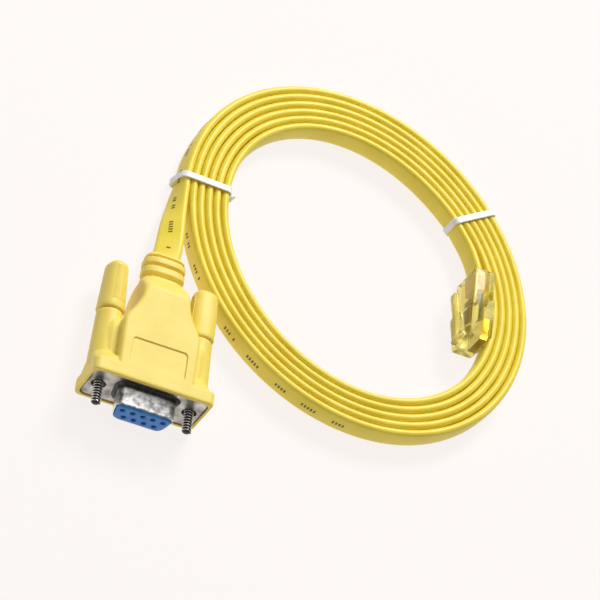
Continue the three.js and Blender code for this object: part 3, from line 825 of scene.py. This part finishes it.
def strain_relief():
    """Oval sleeve with three grooves that leave it springy."""
    rings = []
    for i in range(RELIEF_STEPS + 1):
        y = between(RELIEF_START, RELIEF_END, i / RELIEF_STEPS)
        inset = sum(depth * smooth_share(1.25 - abs(y - centre) / (wide / 2), 0, 0.75)
                    for centre, wide, depth in GROOVES)
        dome = 1 - math.sqrt(max(0, 1 - (max(0, y - RELIEF_DOME_START) / RELIEF_DOME) ** 2))
        half_wide = RELIEF_WIDTH / 2 - inset - 3 * dome
        half_high = RELIEF_HEIGHT / 2 - inset - 3.6 * dome
        outline = [squared(2 * math.pi * k / RELIEF_SIDES, 0.72) for k in range(RELIEF_SIDES)]
        rings.append([(half_wide * u, y, MID_HEIGHT + half_high * v) for u, v in outline])
    return rings


def hood():
    """The moulding: its shells made one by a remesh, then hollowed for what sits in it."""
    points, faces = [], []
    for rings in hood_solids():
        more, skins = skin(rings)
        faces += [tuple(i + len(points) for i in face) for face in skins]
        points += more
    obj = facing_out(shape("hood_moulding", points, faces, VINYL))
    remesh = obj.modifiers.new("one_moulding", "REMESH")
    remesh.mode = "VOXEL"
    remesh.voxel_size = HOOD_VOXEL * MM
    soften = obj.modifiers.new("moulded_edges", "SMOOTH")
    soften.factor = 0.5
    soften.iterations = 2
    baked(obj)

    pocket = rounded_rectangle(FLANGE_WIDTH / 2 + HOOD_SEAT, FLANGE_HEIGHT / 2 + HOOD_SEAT,
                               FLANGE_CORNER + HOOD_SEAT)
    room = rounded_rectangle(SHELL_WIDTH / 2 + HOOD_SEAT, SHELL_HEIGHT / 2 + HOOD_SEAT, SHELL_CORNER)
    tools = [
        [across(pocket, -2), across(pocket, FLANGE_THICKNESS + HOOD_SEAT)],
        [across(room, -2), across(room, INSULATOR_BEHIND + HOOD_SEAT)],
    ]
    bore = [(-2, SCREW_BORE), (0.85, SCREW_BORE), (0.9, SCREW_ROOM), (8, SCREW_ROOM), (8.1, SCREW_BORE),
            (BARREL_LENGTH + 1, SCREW_BORE)]
    knob_room = [(BARREL_LENGTH, 3.4), (BARREL_LENGTH + 0.35, 4.1), (RELIEF_END, 4.1)]
    for x in (-SCREW_X, SCREW_X):
        tools += [tube(bore, x, MID_HEIGHT), tube(knob_room, x, MID_HEIGHT, 64)]
    panel = []
    for z, out in ((HOOD_HEIGHT - PANEL_DEPTH, -0.3), (HOOD_HEIGHT + 0.05, 0), (HOOD_HEIGHT + 2, 0)):
        outline = rounded_rectangle(PANEL_HALF_WIDTH + out, PANEL_HALF_LENGTH + out, 1.1 + out, 8, 0, 0)
        panel.append([(x, y + PANEL_MIDDLE, z) for x, y in reversed(outline)])
    for rings in [*tools, panel]:
        carve(obj, shape("tool", *skin(rings), VINYL))
    return finished(creased(obj, 38), "root", "hood", "hood")


# Thumbscrews

def threaded_rod(side, x):
    """A plain rod with a thread that runs from its tip to the flange."""
    tip = -SCREW_REACH
    profile = [(tip, THREAD_ROOT - 0.5), (tip + 0.12, THREAD_ROOT - 0.25), (tip + 0.4, THREAD_ROOT),
               (0.9, THREAD_ROOT), (1.2, SCREW_RADIUS), (KNOB_START + 7.9, SCREW_RADIUS)]
    rings = tube(profile, x, MID_HEIGHT, 32)
    obj = facing_out(shape(f"thumbscrew_rod_{side}_threaded", *skin(rings), STEEL))
    tree = Tree("screw_thread", turns=THREAD_LENGTH / THREAD_PITCH, length=THREAD_LENGTH * MM,
                mean_radius=THREAD_ROOT * MM, ridge=THREAD_RIDGE * MM,
                start=tuple(spot(x, tip + 0.25, MID_HEIGHT)))
    line = tree.helix(tree.input("turns"), tree.input("mean_radius"), tree.input("length"), 24)
    turned = tree.node("GeometryNodeTransform", Geometry=tree.rod(line, tree.input("ridge"), 4),
                       Translation=tree.input("start"), Rotation=(-math.pi / 2, 0, 0))
    whole = tree.joined(turned.outputs["Geometry"], tree.entry.outputs["Geometry"])
    # Height over the thread's mean radius, stored so the material can darken the thread's root as painted
    # shade
    position = tree.node("GeometryNodeInputPosition").outputs["Position"]
    place = tree.node("ShaderNodeSeparateXYZ", Vector=position)
    squares = []
    for axis, middle in (("X", x), ("Z", MID_HEIGHT)):
        away = tree.reckon("SUBTRACT", place.outputs[axis], middle * MM)
        squares.append(tree.reckon("MULTIPLY", away, away))
    radius = tree.reckon("SQRT", tree.reckon("ADD", *squares))
    height = tree.reckon("DIVIDE", tree.reckon("SUBTRACT", radius, tree.input("mean_radius")),
                         tree.input("ridge"))
    painted_shade_height = tree.node("GeometryNodeStoreNamedAttribute", {"data_type": "FLOAT", "domain": "POINT"},
                      Geometry=whole, Name="ridge", Value=height)
    tree.end(painted_shade_height.outputs["Geometry"], STEEL)
    tree.run(obj)
    return finished(obj, f"thumbscrew_{side}", "screw", f"thumbscrew_rod_{side}")


def knob_ring(x, y, wide, thick, turn):
    """A squarish oval across the grip, turned about the screw."""
    ring = []
    for i in range(KNOB_SIDES):
        u, v = squared(2 * math.pi * (i + 0.5) / KNOB_SIDES, KNOB_ROUNDNESS)
        u, v = u * wide / 2, v * thick / 2
        ring.append((x + u * math.cos(turn) - v * math.sin(turn), y,
                     MID_HEIGHT + u * math.sin(turn) + v * math.cos(turn)))
    return ring


def knob(side, x, turn_degrees):
    """A tapered grip with rounded tip and fine ribs along its sides."""
    start, end = KNOB_START + KNOB_EDGE, KNOB_START + KNOB_LENGTH - KNOB_TIP
    (wide, wide_end), (thick, thick_end) = KNOB_WIDE, KNOB_THICK
    stations = [(KNOB_START, 6.6, 6.3), (KNOB_START + 0.18, 7.05, 6.75), (start, wide, thick)]
    for i in range(1, 13):
        s = i / 12
        stations.append((between(start, end, s), between(wide, wide_end, s ** 1.6),
                         between(thick, thick_end, s ** 0.9)))
    for degrees in (15, 30, 45, 60, 72, 82):
        a = math.radians(degrees)
        inset = 1 - math.cos(a)
        stations.append((end + KNOB_TIP * math.sin(a), wide_end - 3.6 * inset, thick_end - 3.2 * inset))
    rings = [knob_ring(x, *station, math.radians(turn_degrees)) for station in stations]
    obj = facing_out(shape(f"thumbscrew_knob_{side}_grip", *skin(rings), VINYL))
    half = KNOB_SIDES // 2
    lengthwise = {(r * KNOB_SIDES + i, (r + 1) * KNOB_SIDES + i)
                  for r in range(*RIB_RINGS) for i in range(KNOB_SIDES)
                  if i % half < RIBS_EACH_WAY or i % half >= half - RIBS_EACH_WAY}
    marked = obj.data.attributes.new("grip", "BOOLEAN", "EDGE")
    for edge in obj.data.edges:
        marked.data[edge.index].value = tuple(sorted(edge.vertices)) in lengthwise
    tree = Tree("grip_ribs", rib=RIB_RADIUS * MM)
    chosen = tree.node("GeometryNodeInputNamedAttribute", {"data_type": "BOOLEAN"}, Name="grip")
    lines = tree.node("GeometryNodeMeshToCurve", Mesh=tree.entry.outputs["Geometry"],
                      Selection=chosen.outputs["Attribute"])
    ribs = tree.rod(lines.outputs["Curve"], tree.input("rib"), 6)
    tree.end(tree.joined(ribs, tree.entry.outputs["Geometry"]), VINYL)
    tree.run(obj)
    return finished(obj, f"thumbscrew_{side}", "hood", f"thumbscrew_knob_{side}")


# Socket connector

def d_ring(inset, corner_steps=8):
    """The D outline, wide side up, as (x, z) pairs."""
    half = SHELL_HEIGHT / 2 - inset
    top = SHELL_WIDTH / 2 - inset
    bottom = top - 2 * half * SHELL_SLOPE
    radius = SHELL_CORNER - inset
    slant = radius * SHELL_SLOPE
    corners = [
        ((-bottom, -half), (-bottom - slant, -half + radius), (-bottom + radius, -half)),
        ((bottom, -half), (bottom - radius, -half), (bottom + slant, -half + radius)),
        ((top, half), (top - slant, half - radius), (top - radius, half)),
        ((-top, half), (-top + radius, half), (-top + slant, half - radius)),
    ]
    ring = []
    for knee, start, end in corners:
        for step in range(corner_steps + 1):
            s = step / corner_steps
            ring.append(tuple((1 - s) ** 2 * a + 2 * s * (1 - s) * k + s * s * b
                              for a, k, b in zip(start, knee, end)))
    return [(x, z + MID_HEIGHT) for x, z in ring]


def socket_shell():
    """Pressed flange, and the sleeve drawn out of it with a rounded root and a turned-in lip."""
    lip = -SHELL_REACH
    profile = [(0.0, -SLEEVE_ROOT), (-0.12, -0.8), (-0.4, -0.4), (-0.9, -0.12), (-1.6, 0), (lip + 0.25, 0),
               (lip + 0.07, 0.07), (lip, 0.22), (lip + 0.07, 0.38), (lip + 0.25, SHELL_WALL),
               (FLANGE_THICKNESS, SHELL_WALL), (FLANGE_THICKNESS, -SLEEVE_ROOT), (0.0, -SLEEVE_ROOT)]
    points, faces = skin([across(d_ring(inset), y) for y, inset in profile], closed=False)
    sleeve = facing_out(shape("socket_sleeve", points, faces, DRAWN, sharp=50))
    rings = []
    for y, inset in ((0, 0.15), (0.12, 0), (FLANGE_THICKNESS - 0.1, 0), (FLANGE_THICKNESS, 0.1)):
        rings.append(across(rounded_rectangle(FLANGE_WIDTH / 2 - inset, FLANGE_HEIGHT / 2 - inset,
                                              FLANGE_CORNER - inset, 8), y))
    plate = facing_out(shape("socket_flange", *skin(rings), NICKEL))
    opening = d_ring(0.05 - SLEEVE_ROOT)
    holes = [tube([(-1, FLANGE_HOLE), (2, FLANGE_HOLE)], x, MID_HEIGHT, 48) for x in (-SCREW_X, SCREW_X)]
    for rings in ([across(opening, -1), across(opening, 2)], *holes):
        carve(plate, shape("tool", *skin(rings), NICKEL))
    finished(creased(plate, 30), "root", "nickel", "socket_shell")
    return finished(sleeve, "root", "nickel", "socket_shell")


def contact_places():
    """Places of the nine holes, five over four."""
    places = []
    for count, z in ((5, MID_HEIGHT + ROW_SPACING / 2), (4, MID_HEIGHT - ROW_SPACING / 2)):
        places += [((i - (count - 1) / 2) * CONTACT_PITCH, z) for i in range(count)]
    return places


def insulator():
    """The blue block, a little proud of the sleeve, with a funnel at the mouth of each hole."""
    gap = SHELL_WALL + INSULATOR_GAP
    front = -(SHELL_REACH + INSULATOR_PROUD)
    profile = [(front, 0.5), (front + 0.06, 0.3), (front + 0.2, 0.12), (front + 0.42, 0.02), (front + 0.7, 0),
               (INSULATOR_BEHIND, 0)]
    rings = [across(d_ring(gap + inset), y) for y, inset in profile]
    obj = facing_out(shape("socket_insulator_face", *skin(rings), BLUE))
    funnel = [(front - 1, 0.95), (front - 0.01, 0.82), (front + 0.28, CONTACT_HOLE),
              (INSULATOR_BEHIND + 1, CONTACT_HOLE)]
    for x, z in contact_places():
        carve(obj, shape("tool", *skin(tube(funnel, x, z, 32)), BLUE))
    return finished(creased(obj, 35), "root", "insulator", "socket_insulator")


# Ties

def tie(side, degrees, wind, lean_degrees, slant, flare):
    """A white strap round all six turns, its two ends twisted together."""
    point, outward, pitch = coil_place(degrees)
    wide = COIL_TURNS * pitch + CABLE_THICKNESS
    middle = point - outward * (COIL_TURNS * pitch / 2)
    inward = Vector((-outward.x, -outward.y, 0))
    along = Vector((-inward.y, inward.x, 0))

    def at(u, v, w):
        """Place of a point inwards, along the cable and up from the middle of the bundle."""
        share = u / (wide / 2)
        u -= flare * max(0, -share) ** 3 * (0.5 - w / CABLE_WIDTH)
        w += TIE_CROWN * max(0, 1 - share ** 2) * max(0, w) / CABLE_WIDTH
        place = Vector((*middle, CABLE_BASE + CABLE_WIDTH / 2)) + inward * u + along * (v - slant * share)
        return place.x, place.y, place.z + w

    reach = TIE_GAP + TIE_THICKNESS
    outer = rounded_rectangle(wide / 2 + reach, CABLE_WIDTH / 2 + reach, 1.7, 8, 0, 0)
    inner = rounded_rectangle(wide / 2 + TIE_GAP, CABLE_WIDTH / 2 + TIE_GAP, 1.2, 8, 0, 0)
    bands = [[at(between(iu, ou, s), v * TIE_HALF_WIDTH, between(iw, ow, s)) for s, v in TIE_SECTION]
             for (ou, ow), (iu, iw) in zip(outer, inner)]
    points, faces = skin([*bands, bands[0]], closed=False)
    band = facing_out(shape(f"tie_{side}_strap", points, faces, TIE, sharp=60))
    finished(band, "root", "tie", f"tie_{side}")

    # The twist stands beside the strap with its foot low
    twist = seed_mesh(f"tie_{side}_twist")
    foot = at(wind * (wide / 2 + reach + 0.5), 0, -CABLE_WIDTH / 3)
    angle = math.radians(lean_degrees)
    direction = (inward * wind * math.sin(angle) + Vector((0, 0, math.cos(angle)))).normalized()
    turn = direction.to_track_quat("Z", "X").to_euler()
    tree = Tree("twisted_ends", length=TWIST_LENGTH * MM, twists=TWIST_TURNS, strand=STRAND_RADIUS * MM,
                offset=STRAND_OFFSET * MM, foot=tuple(spot(*foot)), turn=tuple(turn))
    strands = []
    for half_turn in (0, math.pi):
        line = tree.helix(tree.input("twists"), tree.input("offset"), tree.input("length"), 20)
        spun = tree.node("GeometryNodeTransform", Geometry=tree.rod(line, tree.input("strand"), 8),
                         Rotation=(0, 0, half_turn))
        strands.append(spun.outputs["Geometry"])
    stood = tree.node("GeometryNodeTransform", Geometry=tree.joined(*strands),
                      Translation=tree.input("foot"), Rotation=tree.input("turn"))
    tree.end(stood.outputs["Geometry"], TIE)
    tree.run(twist)
    twist.data.shade_smooth()
    finished(twist, "root", "tie", f"tie_{side}")
    return [band, twist]


# Plug

def softened(obj, width, segments=2):
    """The object with rounded edges."""
    modifier = obj.modifiers.new("edges", "BEVEL")
    modifier.width = width * MM
    modifier.segments = segments
    modifier.limit_method = "ANGLE"
    modifier.angle_limit = math.radians(40)
    modifier.harden_normals = False
    return creased(baked(obj), 35)


def plug_block(low, high):
    """A box between two corners: across the plug, behind its nose and up from its middle."""
    (x0, y0, z0), (x1, y1, z1) = low, high
    corners = ((x0, z0), (x1, z0), (x1, z1), (x0, z1))
    rings = [[(PLUG_X + x, PLUG_NOSE + y, PLUG_Z + z) for x, z in corners] for y in (y0, y1)]
    return shape("tool", *skin(rings), CLEAR)


def plug_body():
    """The clear housing with the latch's foot, the way for the cable, the clamp's notch and eight slots."""
    half, rear = PLUG_THICKNESS / 2, PLUG_LENGTH
    side = [(-half + PLUG_CHAMFER, 0), (half - PLUG_CHAMFER, 0), (half, PLUG_CHAMFER), (half, PLUG_STEP),
            (half - 0.5, PLUG_STEP + 0.5), (half - 0.5, rear), (-half, rear), (-half, PLUG_CHAMFER)]
    rings = [[(PLUG_X + x, PLUG_NOSE + y, PLUG_Z + z) for x, y in side]
             for z in (-PLUG_WIDTH / 2, PLUG_WIDTH / 2)]
    obj = softened(facing_out(shape("plug_housing", *skin(rings), CLEAR)), 0.55, 4)
    carve(obj, plug_block((-half - 1.4, 0.8, -3.2), (-half + 0.6, 1.7, 3.2)), "UNION")
    carve(obj, plug_block((-1.65, rear - 10, -4), (1.65, rear + 1, 4)))
    carve(obj, plug_block((-0.8, rear - 15.5, -4), (0.8, rear - 9, 4)))
    carve(obj, plug_block((half - 1.7, 13.9, -3), (half + 1, 16.7, 3)))
    for number in range(8):
        z, slot = (number - 3.5) * PLUG_CONTACT_PITCH, PLUG_CONTACT_SLOT / 2
        carve(obj, plug_block((half - 2.7, 0.95, z - slot), (half + 1, 7.25, z + slot)))
    return finished(softened(obj, 0.12), "root", "clear", "plug_body")


def plug_wires():
    """Eight cores side by side from the cable's end to the contacts."""
    obj = seed_mesh("plug_wires")
    first = spot(PLUG_X, PLUG_NOSE + PLUG_LENGTH - 15.2, PLUG_Z - 3.5 * PLUG_WIRE_PITCH)
    tree = Tree("plug_wires", cores=8, pitch=(0.0, 0.0, PLUG_WIRE_PITCH * MM),
                core_radius=PLUG_WIRE_RADIUS * MM, start=tuple(first), length=(0.0, 8.6 * MM, 0.0))
    places = tree.node("GeometryNodeMeshLine", {"mode": "OFFSET"}, Count=tree.input("cores"),
                       Start_Location=tree.input("start"), Offset=tree.input("pitch"))
    number = tree.node("GeometryNodeInputIndex").outputs["Index"]
    numbered = tree.node("GeometryNodeStoreNamedAttribute", {"data_type": "FLOAT", "domain": "POINT"},
                         Geometry=places.outputs["Mesh"], Name="core",
                         Value=tree.reckon("DIVIDE", number, 7.0))
    line = tree.node("GeometryNodeCurvePrimitiveLine", End=tree.input("length"))
    core = tree.rod(line.outputs["Curve"], tree.input("core_radius"), 10)
    set_out = tree.node("GeometryNodeInstanceOnPoints", Points=numbered.outputs["Geometry"], Instance=core)
    tree.end(set_out.outputs["Instances"], CORE)
    tree.run(obj)
    obj.data.shade_smooth()
    return finished(obj, "root", "cable")


def plug_latch():
    """The spring latch: a broad root, then a narrow lever that stands away from the body."""
    outline = [(0, -LATCH_ROOT), (5.6, -LATCH_ROOT), (6.4, -LATCH_HALF_WIDTH),
               (LATCH_LENGTH - 0.6, -LATCH_HALF_WIDTH), (LATCH_LENGTH, -LATCH_HALF_WIDTH + 0.6)]
    outline += [(y, -z) for y, z in reversed(outline)]
    angle = math.radians(LATCH_LEAN)
    base = PLUG_X - PLUG_THICKNESS / 2 - LATCH_SPACE
    rings = [[(base + x * math.cos(angle) - y * math.sin(angle),
               PLUG_NOSE + 2 + x * math.sin(angle) + y * math.cos(angle), PLUG_Z + z) for y, z in outline]
             for x in (-LATCH_THICKNESS, 0)]
    obj = facing_out(shape("plug_latch_lever", *skin(rings), CLEAR))
    return finished(softened(obj, 0.35, 3), "latch", "clear", "plug_latch")


# Stage

def stage():
    """Pale floor that glows a little, a broad soft lamp from behind on the right, and gentle fill."""
    floor = bpy.data.meshes.new("floor")
    corners = [(x * FLOOR_REACH, y * FLOOR_REACH, 0) for x, y in ((-1, -1), (1, -1), (1, 1), (-1, 1))]
    floor.from_pydata(corners, [], [(0, 1, 2, 3)])
    paint = Surface("floor_paint", Base_Color=(0.11, 0.106, 0.103, 1), Roughness=0.9, Specular_IOR_Level=0.1,
                    Emission_Color=(1.0, 0.955, 0.93, 1), Emission_Strength=FLOOR_GLOW)
    floor.materials.append(paint.material)
    placed("floor", floor)

    world = bpy.data.worlds.new("soft_room")
    bpy.context.scene.world = world
    world.use_nodes = True
    background = world.node_tree.nodes["Background"]
    background.inputs["Color"].default_value = (1.0, 0.98, 0.965, 1)
    background.inputs["Strength"].default_value = ROOM_LIGHT

    for name, at, size, power in LAMPS:
        data = bpy.data.lights.new(name, "AREA")
        data.size = size
        data.energy = power
        lamp = placed(name, data)
        lamp.location = at
        lamp.rotation_euler = (Vector(LAMPS_AIM) - Vector(at)).to_track_quat("-Z", "Y").to_euler()


def camera():
    """The photograph's view of the object."""
    azimuth, elevation, roll = (math.radians(v) for v in (CAMERA_AZIMUTH, CAMERA_ELEVATION, CAMERA_ROLL))
    level = math.cos(elevation)
    back = Vector((math.sin(azimuth) * level, -math.cos(azimuth) * level, math.sin(elevation)))
    right = Vector((0, 0, 1)).cross(back).normalized()
    up = back.cross(right)
    sideways = right * math.cos(roll) - up * math.sin(roll)
    upwards = right * math.sin(roll) + up * math.cos(roll)
    data = bpy.data.cameras.new("camera")
    data.lens = CAMERA_LENS
    data.sensor_width = CAMERA_SENSOR
    obj = placed("camera", data)
    obj.matrix_world = Matrix.Translation(CAMERA_AT) @ Matrix((sideways, upwards, back)).transposed().to_4x4()
    bpy.context.scene.camera = obj
    bpy.context.scene.view_settings.view_transform = "Standard"


def gilded(name):
    """A contact of the solids, in gold."""
    contact = bpy.data.objects[name]
    contact.data.materials.clear()
    contact.data.materials.append(GOLD)
    return contact


camera()
stage()
hood()
stations = cable_stations()
cable = flat_cable(stations)
finished(cable, "root", "cable", "cable_lead", "cable_coil", "cable_tail")
marks = print_marks(stations[:station_at(PRINT_END)])
finished(marks, "root", "cable")
socket_shell()
insulator()
for number in range(1, 10):
    gilded(f"socket_contact_{number}")
for side, x, turn in (("left", -SCREW_X, 75), ("right", SCREW_X, 0)):
    threaded_rod(side, x)
    knob(side, x, turn)
ties = tie("left", LEFT_TIE, wind=1, lean_degrees=9, slant=0, flare=1.1)
ties += tie("right", RIGHT_TIE, wind=-1, lean_degrees=-4, slant=0.85, flare=0)
plug = [plug_body(), plug_wires(), plug_latch()]
plug += [gilded(f"plug_contact_{number}") for number in range(1, 9)]
